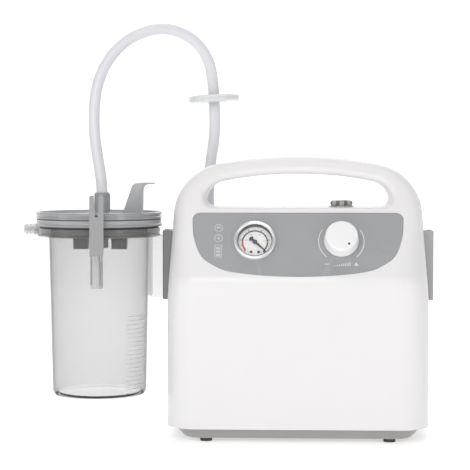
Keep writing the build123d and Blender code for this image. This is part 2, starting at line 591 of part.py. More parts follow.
def make_tubing():
    keep("hose_long", tube(HOSE_LONG))
    keep("hose_short", tube(HOSE_SHORT))
    spot = Pos(*FILTER_AT) * Rot(0, -FILTER_TILT, 0)
    half = turned([(0, 0), (FILTER_R, 0), (FILTER_R, 2.6), (FILTER_R - 1.6, 4.2), (12, 4.6), (9, 5.3),
                   (0, 5.3)])
    half -= turned([(0, -1), (26, -1), (26, 1.6), (0, 1.6)])
    keep("filter_upper", spot * half)
    keep("filter_lower", spot * mirror(half, about=Plane.XY))
    keep("filter_membrane", spot * Cylinder(25.8, 1.0))


def main():
    outside = casing_block(0)
    make_shells(outside)
    make_base()
    make_panel()
    make_rails(outside)
    make_gauge()
    make_regulator()
    make_switch()
    make_rear_fittings()
    make_motor()
    make_crank()
    make_pump_body()
    make_electrics()
    make_inner_pipes()
    make_jar()
    make_lid()
    make_latches()
    make_lid_fittings()
    make_tubing()
    os.makedirs("parts", exist_ok=True)
    for name, shape in NODES.items():
        export_step(shape, f"parts/{name}.step")


main()
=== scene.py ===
"""Portable suction pump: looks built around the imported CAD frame. Everything is in metres."""

from math import atan2, cos, hypot, pi, radians, sin

import bmesh
import bpy
import numpy as np
from mathutils import Matrix, Vector


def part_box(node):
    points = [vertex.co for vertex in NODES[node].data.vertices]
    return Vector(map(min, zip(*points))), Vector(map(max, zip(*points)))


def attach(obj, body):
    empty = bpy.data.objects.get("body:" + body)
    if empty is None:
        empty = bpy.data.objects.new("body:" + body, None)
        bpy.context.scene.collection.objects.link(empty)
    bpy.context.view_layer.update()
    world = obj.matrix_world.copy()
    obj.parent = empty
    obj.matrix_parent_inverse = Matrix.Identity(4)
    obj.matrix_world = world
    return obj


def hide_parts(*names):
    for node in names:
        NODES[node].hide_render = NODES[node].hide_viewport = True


MM = 0.001
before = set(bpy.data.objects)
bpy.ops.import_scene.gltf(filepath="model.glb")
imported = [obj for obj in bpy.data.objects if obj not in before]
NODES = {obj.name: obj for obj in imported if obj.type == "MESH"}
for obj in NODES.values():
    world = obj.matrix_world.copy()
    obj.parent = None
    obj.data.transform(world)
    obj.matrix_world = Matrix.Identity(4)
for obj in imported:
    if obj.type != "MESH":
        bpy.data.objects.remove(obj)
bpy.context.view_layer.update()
scene = bpy.context.scene


# ---- places read from the frame
def centre(node):
    low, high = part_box(node)
    return (low + high) / 2


CASE_X = centre("base_tray").x
JAR_X = centre("lid_gasket").x
LEAN = radians(28)                       # lean of the control face
SLOPE_OUT = Vector((0, -cos(LEAN), sin(LEAN)))
SLOPE_UP = Vector((0, sin(LEAN), cos(LEAN)))
SLOPE_FOOT = Vector((CASE_X, -0.080, 0.190))


def slope_matrix(u=0.0, v=0.0, out=0.0):
    """Frame of a point on the control face: X right, Y up the slope, Z out of it. Millimetres."""
    place = SLOPE_FOOT + Vector((u * MM, 0, 0)) + SLOPE_UP * (v * MM) + SLOPE_OUT * (out * MM)
    axes = Matrix((Vector((1, 0, 0)), SLOPE_UP, SLOPE_OUT)).transposed().to_4x4()
    return Matrix.Translation(place) @ axes


# ---- materials
def feed(node, values):
    for socket, value in values.items():
        node.inputs[socket].default_value = value


def new_material(name, color, rough, metal=0.0, coat=0.0, alpha=1.0, transmission=0.0, ior=1.45,
                 specular=0.5, subsurface=0.0, subsurface_radius=0.004):
    """A Principled material and its shader."""
    material = bpy.data.materials.new(name)
    material.use_nodes = True
    shader = material.node_tree.nodes["Principled BSDF"]
    values = {"Base Color": (*color, 1), "Roughness": rough, "Metallic": metal, "Coat Weight": coat,
              "Alpha": alpha, "Transmission Weight": transmission, "IOR": ior,
              "Specular IOR Level": specular, "Subsurface Weight": subsurface}
    feed(shader, values)
    if subsurface:
        feed(shader, {"Subsurface Radius": (1, 1, 1), "Subsurface Scale": subsurface_radius})
    return material, shader


def noise(tree, scale, detail=2.0, rough=0.5, stretch=None):
    """Noise in the object's own coordinates."""
    place = tree.nodes.new("ShaderNodeTexCoord")
    texture = tree.nodes.new("ShaderNodeTexNoise")
    feed(texture, {"Scale": scale, "Detail": detail, "Roughness": rough})
    source = place.outputs["Object"]
    if stretch:
        mapping = tree.nodes.new("ShaderNodeMapping")
        feed(mapping, {"Scale": stretch})
        tree.links.new(source, mapping.inputs["Vector"])
        source = mapping.outputs["Vector"]
    tree.links.new(source, texture.inputs["Vector"])
    return texture


def vary(material, shader, color, other, scale, span=(0.35, 0.65)):
    """Base colour wanders between two close colours."""
    tree = material.node_tree
    texture = noise(tree, scale, 3.0, 0.6)
    ramp = tree.nodes.new("ShaderNodeValToRGB")
    ramp.color_ramp.elements[0].position = span[0]
    ramp.color_ramp.elements[1].position = span[1]
    ramp.color_ramp.elements[0].color = (*color, 1)
    ramp.color_ramp.elements[1].color = (*other, 1)
    tree.links.new(texture.outputs["Fac"], ramp.inputs["Fac"])
    tree.links.new(ramp.outputs["Color"], shader.inputs["Base Color"])


def rough_range(material, shader, low, high, scale, stretch=None):
    """Roughness wanders between two values, like handling marks."""
    tree = material.node_tree
    texture = noise(tree, scale, 4.0, 0.65, stretch)
    spread = tree.nodes.new("ShaderNodeMapRange")
    feed(spread, {"From Min": 0.3, "From Max": 0.7, "To Min": low, "To Max": high})
    tree.links.new(texture.outputs["Fac"], spread.inputs["Value"])
    tree.links.new(spread.outputs["Result"], shader.inputs["Roughness"])


def grain(material, shader, scale, depth, strength=1.0, stretch=None):
    """Fine moulded grain as bump. Depth in millimetres."""
    tree = material.node_tree
    texture = noise(tree, scale, 2.0, 0.5, stretch)
    bump = tree.nodes.new("ShaderNodeBump")
    feed(bump, {"Strength": strength, "Distance": depth * MM})
    tree.links.new(texture.outputs["Fac"], bump.inputs["Height"])
    tree.links.new(bump.outputs["Normal"], shader.inputs["Normal"])


def plastic(name, color, rough, drift, grain_scale, grain_depth, **more):
    """Moulded plastic: faint colour drift, worn gloss and a fine grain."""
    material, shader = new_material(name, color, rough, **more)
    other = tuple(min(1.0, c * (1 + drift)) for c in color)
    vary(material, shader, color, other, 9)
    rough_range(material, shader, rough * 0.88, rough * 1.12, 34)
    grain(material, shader, grain_scale, grain_depth)
    return material


def clear_plastic(name, color, haze, density):
    """Thin clear moulding: a milky haze, and darker where the eye looks along the wall."""
    material, shader = new_material(name, color, 0.12, alpha=haze, ior=1.5, coat=0.5)
    rough_range(material, shader, 0.08, 0.16, 30)
    grain(material, shader, 90, 0.05, 0.5, (1, 1, 0.12))
    tree = material.node_tree
    absorb = tree.nodes.new("ShaderNodeVolumeAbsorption")
    feed(absorb, {"Color": (0.62, 0.62, 0.63, 1), "Density": density})
    tree.links.new(absorb.outputs["Volume"], tree.nodes["Material Output"].inputs["Volume"])
    return material


# Colour, roughness, colour drift, grain scale, grain depth in millimetres, other shader values
PLASTICS = {
    "casing_white": ((0.74, 0.728, 0.728), 0.36, 0.012, 1900, 0.006, {"coat": 0.12}),
    "panel_grey": ((0.315, 0.32, 0.33), 0.45, 0.03, 3000, 0.012, {}),
    # A darker copy of the rail grey for the left rail: painted shade
    "rail_painted_shade": ((0.20, 0.2, 0.205), 0.46, 0.04, 2600, 0.02, {}),
    # Near-black for the dial's throat, painted shade in the recess; also the knob's printed dot
    "throat_painted_shade_and_dot": ((0.035, 0.035, 0.037), 0.35, 0.04, 2600, 0.01, {}),
    "hook_grey": ((0.36, 0.365, 0.37), 0.32, 0.04, 2200, 0.012, {"coat": 0.1}),
    "socket_grey": ((0.10, 0.10, 0.102), 0.3, 0.06, 2200, 0.012, {"coat": 0.3}),
    "cuff_grey": ((0.33, 0.335, 0.34), 0.35, 0.05, 2200, 0.012, {"coat": 0.1}),
    "float_white": ((0.88, 0.88, 0.88), 0.35, 0.01, 2200, 0.01, {}),
    "print_pale": ((0.52, 0.525, 0.53), 0.5, 0.02, 3000, 0.005, {}),
    "rail_grey": ((0.36, 0.355, 0.36), 0.46, 0.04, 2600, 0.02, {}),
    "tray_grey": ((0.31, 0.30, 0.295), 0.42, 0.04, 2200, 0.02, {"coat": 0.15}),
    "lid_grey": ((0.27, 0.273, 0.285), 0.18, 0.05, 1800, 0.006, {"coat": 0.6}),
    # Paler copy of the lid grey for its top rim and well: painted light
    "lid_painted_light": ((0.46, 0.46, 0.465), 0.30, 0.05, 1800, 0.008, {"coat": 0.2}),
    "lid_mid": ((0.345, 0.345, 0.355), 0.2, 0.03, 1800, 0.008, {}),
    # Near-black for the lid's groove and the underside of its lower lip: painted shade
    "lid_painted_shade": ((0.15, 0.15, 0.155), 0.35, 0.05, 1800, 0.008, {}),
    "latch_grey": ((0.30, 0.30, 0.305), 0.36, 0.04, 2200, 0.015, {}),
    "knob_white": ((0.80, 0.795, 0.80), 0.32, 0.01, 2400, 0.005, {"coat": 0.15}),
    "bezel_white": ((0.78, 0.79, 0.80), 0.2, 0.01, 2400, 0.004, {"metal": 0.55, "coat": 0.3}),
    "black_plastic": ((0.025, 0.025, 0.028), 0.4, 0.3, 2400, 0.02, {}),
    "rubber_dark": ((0.05, 0.05, 0.052), 0.75, 0.3, 1500, 0.05, {}),
    "gasket": ((0.045, 0.045, 0.05), 0.55, 0.2, 1500, 0.03, {}),
    "print_white": ((0.66, 0.66, 0.66), 0.5, 0.02, 3000, 0.005, {}),
    "print_grey": ((0.30, 0.30, 0.31), 0.5, 0.04, 3000, 0.005, {}),
    "print_black": ((0.02, 0.02, 0.02), 0.5, 0.2, 3000, 0.005, {}),
    "print_red": ((0.62, 0.03, 0.03), 0.5, 0.1, 3000, 0.005, {}),
    "dial_white": ((0.86, 0.86, 0.85), 0.45, 0.02, 3000, 0.004, {}),
    "window_grey": ((0.325, 0.33, 0.34), 0.3, 0.02, 3000, 0.004, {"coat": 0.4}),
    "battery_blue": ((0.05, 0.12, 0.3), 0.35, 0.1, 900, 0.05, {}),
    "board_green": ((0.03, 0.16, 0.08), 0.4, 0.15, 1200, 0.05, {}),
    "pipe_clear": ((0.62, 0.58, 0.48), 0.35, 0.05, 900, 0.02, {}),
    "membrane": ((0.85, 0.85, 0.83), 0.85, 0.05, 2600, 0.08, {}),
    # Dark brown for the valleys between the boot's lobes: painted shade
    "boot_fold_painted_shade": ((0.10, 0.09, 0.085), 0.3, 0.2, 900, 0.03, {"coat": 0.4}),
}
METALS = {"steel": (0.58, 0.58, 0.6), "alloy": (0.62, 0.63, 0.64), "brass": (0.72, 0.54, 0.26)}
# Colour, roughness, other shader values, range of roughness and its scale, grain scale and depth
FINISHES = {
    "silicone_hose": ((0.66, 0.66, 0.69), 0.30, {"subsurface": 0.5, "subsurface_radius": 0.004, "coat": 0.15},
                      (0.28, 0.4, 60), (700, 0.012)),
    "filter_white": ((0.66, 0.67, 0.68), 0.28, {"subsurface": 0.3, "coat": 0.3}, (0.2, 0.32, 50),
                     (900, 0.01)),
    # Dark outline on the jar's flange edge and bottom corner: painted shade
    "jar_edge_painted_shade": ((0.12, 0.12, 0.12), 0.2, {"alpha": 0.4, "coat": 0.5}, (0.15, 0.3, 40), None),
    "jar_floor": ((0.5, 0.5, 0.5), 0.1, {"alpha": 0.2, "coat": 0.3}, (0.08, 0.2, 40), None),
    "cage_clear": ((0.99, 0.99, 0.99), 0.3, {"alpha": 0.93}, (0.25, 0.4, 120), None),
    "print_frost": ((0.62, 0.62, 0.62), 0.4, {"alpha": 0.35}, (0.45, 0.6, 120), None),
    "lens_clear": ((0.99, 0.99, 1.0), 0.02, {"alpha": 0.04}, (0.01, 0.04, 40), None),
}


def build_materials():
    made = {}
    for name, (color, rough, drift, scale, depth, more) in PLASTICS.items():
        made[name] = plastic(name, color, rough, drift, scale, depth, **more)
    for name, color in METALS.items():
        material, shader = new_material(name, color, 0.3, metal=1.0)
        vary(material, shader, color, tuple(c * 0.9 for c in color), 60)
        rough_range(material, shader, 0.24, 0.42, 90, (1, 12, 1))
        grain(material, shader, 1400, 0.02, 0.6, (1, 14, 1))
        made[name] = material
    for name, (color, rough, more, gloss, moulded) in FINISHES.items():
        material, shader = new_material(name, color, rough, **more)
        rough_range(material, shader, *gloss)
        if moulded:
            grain(material, shader, *moulded)
        made[name] = material
    material, shader = new_material("boot_rubber", (0.40, 0.37, 0.34), 0.28, transmission=0.25, ior=1.41,
                                    coat=0.4, subsurface=0.3)
    vary(material, shader, (0.52, 0.50, 0.48), (0.30, 0.28, 0.26), 210, (0.52, 0.66))
    rough_range(material, shader, 0.22, 0.4, 120)
    grain(material, shader, 500, 0.06)
    made["boot_rubber"] = material
    made["jar_clear"] = clear_plastic("jar_clear", (0.31, 0.30, 0.30), 0.135, 100.0)
    # Hazier, paler copy of the jar's clear plastic for the flange and the patient stub: painted light over
    # the shade seen through the flange
    made["jar_rim"] = clear_plastic("jar_rim", (0.46, 0.45, 0.45), 0.30, 60.0)
    return made


MATERIALS = build_materials()


# ---- mesh helpers
def place_object(name, data):
    """A new object in the scene."""
    piece = bpy.data.objects.new(name, data)
    scene.collection.objects.link(piece)
    return piece


def aim_at(piece, way):
    piece.rotation_mode = "QUATERNION"
    piece.rotation_quaternion = way.to_track_quat("-Z", "Y")


def spin(degrees, axis):
    return Matrix.Rotation(radians(degrees), 4, axis)


def mesh_of(work, name):
    """The finished bmesh as a mesh."""
    mesh = bpy.data.meshes.new(name)
    work.to_mesh(mesh)
    work.free()
    return mesh


def mesh_from(name, points, faces, smooth=35.0):
    """A mesh from points in metres, shaded smooth below the given angle."""
    mesh = bpy.data.meshes.new(name)
    mesh.from_pydata([tuple(p) for p in points], [], [tuple(int(i) for i in f) for f in faces])
    mesh.validate()
    finish_mesh(mesh, smooth)
    return mesh


def finish_mesh(mesh, smooth=35.0):
    work = bmesh.new()
    work.from_mesh(mesh)
    bmesh.ops.recalc_face_normals(work, faces=work.faces)
    work.to_mesh(mesh)
    work.free()
    mesh.shade_smooth()
    mesh.set_sharp_from_angle(angle=radians(smooth))
    mesh.update()


def applied(piece):
    """The piece's mesh with its modifiers worked in."""
    bpy.context.view_layer.update()
    graph = bpy.context.evaluated_depsgraph_get()
    mesh = bpy.data.meshes.new_from_object(piece.evaluated_get(graph))
    return mesh


def lathe(name, profile, matrix, steps=96, smooth=35.0):
    """Turns a closed (radius, height) outline in millimetres about Z."""
    work = bmesh.new()
    rings = []
    for step in range(steps):
        angle = 2 * pi * step / steps
        spots = [Vector((r * cos(angle), r * sin(angle), z)) * MM for r, z in profile]
        rings.append([work.verts.new(matrix @ spot) for spot in spots])
    for here, there in zip(rings, rings[1:] + rings[:1]):
        for i in range(len(profile)):
            j = (i + 1) % len(profile)
            if profile[i][0] > 1e-6 or profile[j][0] > 1e-6:
                work.faces.new((here[i], there[i], there[j], here[j]))
    bmesh.ops.remove_doubles(work, verts=work.verts, dist=1e-7)
    bmesh.ops.dissolve_degenerate(work, edges=work.edges, dist=1e-8)
    mesh = mesh_of(work, name)
    finish_mesh(mesh, smooth)
    return mesh


def prism(name, outline, low, high, matrix, bevel=0.0):
    """Extrudes a flat outline (millimetres) from low to high along the matrix's Z."""
    work = bmesh.new()
    ring = [work.verts.new((x, y, low)) for x, y in outline]
    edges = [work.edges.new((ring[i], ring[(i + 1) % len(ring)])) for i in range(len(ring))]
    bmesh.ops.triangle_fill(work, use_beauty=True, use_dissolve=False, edges=edges)
    base = list(work.faces)
    raised = bmesh.ops.extrude_face_region(work, geom=base)
    moved = [v for v in raised["geom"] if isinstance(v, bmesh.types.BMVert)]
    bmesh.ops.translate(work, verts=moved, vec=(0, 0, high - low))
    bmesh.ops.recalc_face_normals(work, faces=work.faces)
    bmesh.ops.dissolve_limit(work, angle_limit=0.001, verts=work.verts, edges=work.edges)
    if bevel:
        sharp = [e for e in work.edges if e.is_manifold and e.calc_face_angle(0) > 0.9]
        bmesh.ops.bevel(work, geom=sharp, offset=bevel, segments=3, profile=0.5, affect="EDGES")
    bmesh.ops.transform(work, matrix=matrix @ Matrix.Scale(MM, 4), verts=work.verts)
    mesh = mesh_of(work, name)
    finish_mesh(mesh)
    return mesh


def join_meshes(name, meshes):
    """One mesh from several."""
    work = bmesh.new()
    for mesh in meshes:
        work.from_mesh(mesh)
    joined = mesh_of(work, name)
    joined.shade_smooth()
    joined.set_sharp_from_angle(angle=radians(35))
    return joined


def arc3(start, middle, end, count):
    """Points on the circle through three points, the last one left out."""
    ax, ay = start
    bx, by = middle
    cx, cy = end
    d = 2 * (ax * (by - cy) + bx * (cy - ay) + cx * (ay - by))
    aa, bb, cc = ax * ax + ay * ay, bx * bx + by * by, cx * cx + cy * cy
    ux = (aa * (by - cy) + bb * (cy - ay) + cc * (ay - by)) / d
    uy = (aa * (cx - bx) + bb * (ax - cx) + cc * (bx - ax)) / d
    radius = hypot(ax - ux, ay - uy)
    angles = [atan2(y - uy, x - ux) for x, y in (start, middle, end)]
    turn = (angles[2] - angles[0]) % (2 * pi)
    if (angles[1] - angles[0]) % (2 * pi) > turn:
        turn -= 2 * pi
    spots = [angles[0] + turn * i / count for i in range(count)]
    return [(ux + radius * cos(a), uy + radius * sin(a)) for a in spots]


def circle(radius, count=48):
    spots = [2 * pi * i / count for i in range(count)]
    return [(radius * cos(a), radius * sin(a)) for a in spots]


def rect(x0, y0, x1, y1):
    return [(x0, y0), (x1, y0), (x1, y1), (x0, y1)]


def rounded_box(half_x, half_y, radius):
    """Outline of a rectangle with rounded corners."""
    points, count = [], 4
    for corner, (sx, sy) in enumerate(((1, 1), (-1, 1), (-1, -1), (1, -1))):
        for i in range(count + 1):
            a = pi / 2 * (corner + i / count)
            x, y = sx * (half_x - radius), sy * (half_y - radius)
            points.append((x + radius * cos(a), y + radius * sin(a)))
    return points


def ring_band(r_in, r_out, from_deg, to_deg, count=40):
    """Outline of a band of a circle."""
    spots = [radians(from_deg + (to_deg - from_deg) * i / count) for i in range(count + 1)]
    outer = [(r_out * cos(a), r_out * sin(a)) for a in spots]
    inner = [(r_in * cos(a), r_in * sin(a)) for a in reversed(spots)]
    return outer + inner


# ---- camera, light and floor
def build_stage():
    distance, height, aside = 1.8, 0.328, -0.0092
    yaw, pitch = radians(2.0999), radians(1.9664)
    camera = bpy.data.cameras.new("camera")
    camera.sensor_width = 36.0
    camera.lens = 114.8936
    camera.shift_y = -0.05
    viewer = place_object("camera", camera)
    viewer.location = (CASE_X + aside, -distance, height)
    aim = Vector((-sin(yaw) * cos(pitch), cos(yaw) * cos(pitch), -sin(pitch)))
    aim_at(viewer, aim)
    scene.camera = viewer

    floor = bpy.data.meshes.new("floor")
    half, back, rise, radius, steps = 6.0, 3.0, 4.0, 1.2, 16
    profile = [(-half, 0.0)]
    for i in range(steps + 1):
        a = pi / 2 * i / steps
        profile.append((back - radius + radius * sin(a), radius - radius * cos(a)))
    profile.append((back, rise))
    points = [(x, y, z) for y, z in profile for x in (-half, half)]
    faces = [(2 * i, 2 * i + 1, 2 * i + 3, 2 * i + 2) for i in range(len(profile) - 1)]
    floor.from_pydata(points, [], faces)
    floor.shade_smooth()
    ground = place_object("floor", floor)
    material, shader = new_material("floor_white", (0.9, 0.9, 0.9), 0.9, specular=0.1)
    feed(shader, {"Emission Color": (1, 1, 1, 1), "Emission Strength": 0.44})
    ground.data.materials.append(material)

    world = bpy.data.worlds.new("studio")
    scene.world = world
    world.use_nodes = True
    background = world.node_tree.nodes["Background"]
    feed(background, {"Color": (1, 1, 1, 1), "Strength": 0.33})
    lamps = (
        ("key", (-0.5, -2.3, 1.3), (0.05, 0, 0.15), 1.5, 1.2, 25.0),
        ("left", (-2.0, -1.0, 0.7), (0.0, 0, 0.2), 0.6, 1.5, 5.0),
        ("right", (1.7, -1.7, 0.7), (0.05, 0, 0.15), 0.6, 1.5, 7.0),
        ("top", (0.1, 0.1, 1.9), (0.05, 0, 0.1), 1.5, 1.2, 9.0),
        ("rear", (0.0, 1.6, 1.4), (0.0, 0.9, 0.6), 2.0, 1.6, 11.0),
    )
    for name, place, target, wide, tall, power in lamps:
        lamp = bpy.data.lights.new(name, "AREA")
        lamp.shape = "RECTANGLE"
        lamp.size = wide
        lamp.size_y = tall
        lamp.energy = power
        holder = place_object(name, lamp)
        holder.location = place
        aim_at(holder, Vector(target) - Vector(place))
    scene.view_settings.view_transform = "Standard"


# ---- hoses and filter
HOSE_D = 13.5
HOSE_LONG = [
    (-235.3, 0, 279), (-235.3, 0, 297), (-239.5, 4, 322), (-245.5, 8, 356), (-246.8, 13, 394),
    (-241.5, 19, 428), (-226, 26, 458), (-200, 33, 481), (-164, 39, 491), (-131, 45, 480),
    (-110, 50, 455), (-104.4, 52, 427), (-103.3, 52, 408.9),
]
HOSE_SHORT = [
    (-102.7, 52, 398.1), (-101.6, 52, 380), (-103, 58, 353), (-108.5, 63.5, 322), (-110.5, 67, 292),
    (-110, 68, 265), (-110, 68, 248),
]


def build_hose(name, route):
    """One smooth hose whose spline has the route's points as its control points."""
    curve = bpy.data.curves.new(name, "CURVE")
    curve.dimensions = "3D"
    spline = curve.splines.new("NURBS")
    spline.points.add(len(route) - 1)
    for point, (x, y, z) in zip(spline.points, route):
        point.co = (CASE_X + x * MM, y * MM, z * MM, 1)
    spline.order_u = 3
    spline.use_endpoint_u = True
    spline.resolution_u = 16
    curve.bevel_depth = HOSE_D / 2 * MM
    curve.bevel_resolution = 8
    curve.use_fill_caps = True
    hose = place_object(name, curve)
    hose.data.materials.append(MATERIALS["silicone_hose"])
    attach(hose, "jar_unit")
    return hose


def build_hoses():
    long_hose = build_hose("suction_hose_long", HOSE_LONG)
    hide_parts("hose_long")
    short_hose = build_hose("suction_hose_short", HOSE_SHORT)
    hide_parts("hose_short")


# ---- casing
CASE_HALF, CASE_DEEP, CASE_BREAK = 153.0, 80.0, 190.0   # half width, half depth, level of the slopes' foot
CASE_TOP, HAND_TOP = 332.5, 311.4                        # crown of the handle and of the opening below it
SPLIT_Y, SEAM = 4.0, 0.15                                # joint between the shells, half its gap
SHELL_FOOT, SHELL_WALL = 17.0, 2.6
REAR_LEAN = radians(24)
GRID = 3.0


def casing_outline():
    """Front view of the casing, carried below its foot so that only the sides count."""
    right = [(CASE_HALF, -40.0), (CASE_HALF, 160.0)]
    right += arc3((147, 268), (133.5, 301), (104, 321.5), 12)
    right += arc3((104, 321.5), (52, 330), (0, CASE_TOP), 8)
    left = [(-x, z) for x, z in reversed(right)]
    return right + [(0.0, CASE_TOP)] + left


def handle_outline():
    """Front view of the opening for the hand."""
    right = arc3((101, 272), (107.4, 274.6), (110, 281), 6)
    right += arc3((110, 281), (103.5, 294.5), (86, 303.5), 10)
    right += arc3((86, 303.5), (45, 309.6), (0, HAND_TOP), 8)
    left = [(-x, z) for x, z in reversed(right)]
    return right + [(0.0, HAND_TOP)] + left


def outline_distance(x, z, outline):
    """Signed distance to a closed outline, negative inside."""
    best = np.full(x.shape, 1e9)
    inside = np.zeros(x.shape, bool)
    for (ax, az), (bx, bz) in zip(outline, outline[1:] + outline[:1]):
        dx, dz = bx - ax, bz - az
        t = np.clip(((x - ax) * dx + (z - az) * dz) / (dx * dx + dz * dz), 0, 1)
        best = np.minimum(best, (x - ax - t * dx) ** 2 + (z - az - t * dz) ** 2)
        crosses = (az > z) != (bz > z)
        where = ax + (z - az) * dx / (dz if abs(dz) > 1e-9 else 1e-9)
        inside ^= crosses & (x < where)
    best = np.sqrt(best)
    return np.where(inside, -best, best)


def soft_max(a, b, width):
    """The larger of two fields, blended over that width."""
    return np.maximum(a, b) + np.maximum(width - np.abs(a - b), 0) ** 2 / (4 * width)


def round_meet(a, b, radius):
    """Both shapes together, with a rounded edge of that radius where they meet."""
    over_a, over_b = np.maximum(radius + a, 0), np.maximum(radius + b, 0)
    return np.minimum(-radius, np.maximum(a, b)) + np.hypot(over_a, over_b)


def ease(value, low, high):
    t = np.clip((value - low) / (high - low), 0, 1)
    return t * t * (3 - 2 * t)


def profile_distance(y, z):
    """Side view: upright below, leaning in above on both faces."""
    up = z - CASE_BREAK
    front_slope = -(y + CASE_DEEP) * cos(LEAN) + up * sin(LEAN)
    rear_slope = (y - CASE_DEEP) * cos(REAR_LEAN) + up * sin(REAR_LEAN)
    front = soft_max(-y - CASE_DEEP, front_slope, 3.0)
    rear = soft_max(y - CASE_DEEP, rear_slope, 4.0)
    return np.maximum(front, rear)


def casing_distance(y, z, sides, hand):
    """Signed distance to the casing; its side edges round off less towards the handle."""
    side_radius = 36 - 25 * ease(z, 175, 318)
    hand_radius = 4.0 + 5.0 * ease(z, 273, 290)
    body = round_meet(sides, profile_distance(y, z), side_radius)
    return round_meet(body, -hand, hand_radius)


def net_of(field, low, step):
    """Quads of the surface where a sampled field changes sign."""
    inside = field < 0
    cells = np.array(field.shape) - 1
    total = np.zeros((*cells, 3))
    count = np.zeros(cells)
    quads = []
    axes = np.eye(3, dtype=int)
    for axis in range(3):
        other = [i for i in range(3) if i != axis]
        first = [slice(None)] * 3
        second = [slice(None)] * 3
        first[axis], second[axis] = slice(0, -1), slice(1, None)
        a, b = field[tuple(first)], field[tuple(second)]
        spots = np.argwhere((a < 0) != (b < 0))
        t = a[tuple(spots.T)] / (a[tuple(spots.T)] - b[tuple(spots.T)])
        where = spots + axes[axis] * t[:, None]
        keep = np.ones(len(spots), bool)
        for o in other:
            keep &= (spots[:, o] > 0) & (spots[:, o] < field.shape[o] - 1)
        spots, where = spots[keep], where[keep]
        around = []
        for du, dv in ((0, 0), (-1, 0), (-1, -1), (0, -1)):
            cell = spots + axes[other[0]] * du + axes[other[1]] * dv
            np.add.at(total, tuple(cell.T), where)
            np.add.at(count, tuple(cell.T), 1)
            around.append(cell)
        quads.append((around, inside[tuple(spots.T)], axis))
    used = count > 0
    index = np.full(cells, -1)
    index[used] = np.arange(used.sum())
    points = low + step * total[used] / count[used][:, None]
    faces = []
    for around, is_in, axis in quads:
        face = np.stack([index[tuple(cell.T)] for cell in around], 1)
        flip = is_in if axis == 1 else ~is_in
        face[flip] = face[flip][:, ::-1]
        faces.append(face)
    return points, np.concatenate(faces)


def casing_surface():
    """Points and quads of the whole outside of the casing, in millimetres."""
    sides_line, hand_line = casing_outline(), handle_outline()
    low = np.array([-159.0, -87.0, 8.0])
    shape = (107, 59, 111)
    axis = [low[i] + GRID * np.arange(shape[i]) for i in range(3)]
    plane_x, plane_z = np.meshgrid(axis[0], axis[2], indexing="ij")
    sides = outline_distance(plane_x, plane_z, sides_line)[:, None, :]
    hand = outline_distance(plane_x, plane_z, hand_line)[:, None, :]
    y = axis[1][None, :, None]
    z = axis[2][None, None, :]
    field = casing_distance(y + 0 * sides, z + 0 * sides + 0 * y, sides + 0 * y, hand + 0 * y)
    points, faces = net_of(field, low, GRID)

    def value(p):
        return casing_distance(p[:, 1], p[:, 2], outline_distance(p[:, 0], p[:, 2], sides_line),
                               outline_distance(p[:, 0], p[:, 2], hand_line))

    edges = np.concatenate([faces[:, [i, (i + 1) % 4]] for i in range(4)])
    for step in range(5):
        if step < 3:
            pull = np.zeros_like(points)
            ways = np.zeros(len(points))
            for one, two in ((0, 1), (1, 0)):
                np.add.at(pull, edges[:, one], points[edges[:, two]])
                np.add.at(ways, edges[:, one], 1)
            points = points + 0.5 * (pull / ways[:, None] - points)
        here = value(points)
        slope = np.stack([value(points + 0.05 * axis_way) - here for axis_way in np.eye(3)], 1) / 0.05
        size = np.maximum((slope ** 2).sum(1), 0.2)
        points = points - slope * np.clip(here / size, -GRID, GRID)[:, None]
    return points, faces


def panel_outline(grow):
    """The control panel's outline on the control face, grown all round."""
    half, low, high = 123.0 + grow, 4.5 - grow, 86.0 + grow
    right = [(0.0, high)] + arc3((half - 9, high), (half - 2.6, high - 2.6), (half, high - 9), 8)
    side = [(half, high - 9), (half - 0.9, 62), (half - 3, 51), (half - 7, 38), (half - 14, 26.5),
            (half - 27, 17.5), (86 + grow * 0.5, 12.8 - grow), (68, 9.0 - grow), (36, 5.7 - grow)]
    right += smooth_line(side + [(0.0, low)], 4)
    left = [(-x, v) for x, v in reversed(right[1:-1])]
    return right + left


def smooth_line(points, parts):
    """Catmull-Rom line through the points."""
    spots = [np.array(p, float) for p in points]
    first, last = 2 * spots[0] - spots[1], np.array([-points[-2][0], points[-2][1]], float)
    padded = [first, *spots, last]
    line = []
    for a, b, c, d in zip(padded, padded[1:], padded[2:], padded[3:]):
        for i in range(parts):
            t = i / parts
            line.append(tuple(0.5 * (2 * b + (c - a) * t + (2 * a - 5 * b + 4 * c - d) * t * t
                                     + (3 * b - a - 3 * c + d) * t ** 3)))
    return line + [tuple(points[-1])]


def work_in(piece, tool_mesh, operation):
    """Works one closed mesh into or out of a piece."""
    tool = place_object("tool", tool_mesh)
    modifier = piece.modifiers.new("work", "BOOLEAN")
    modifier.operation = operation
    modifier.solver = "EXACT"
    modifier.object = tool
    piece.data = applied(piece)
    piece.modifiers.clear()
    bpy.data.objects.remove(tool)


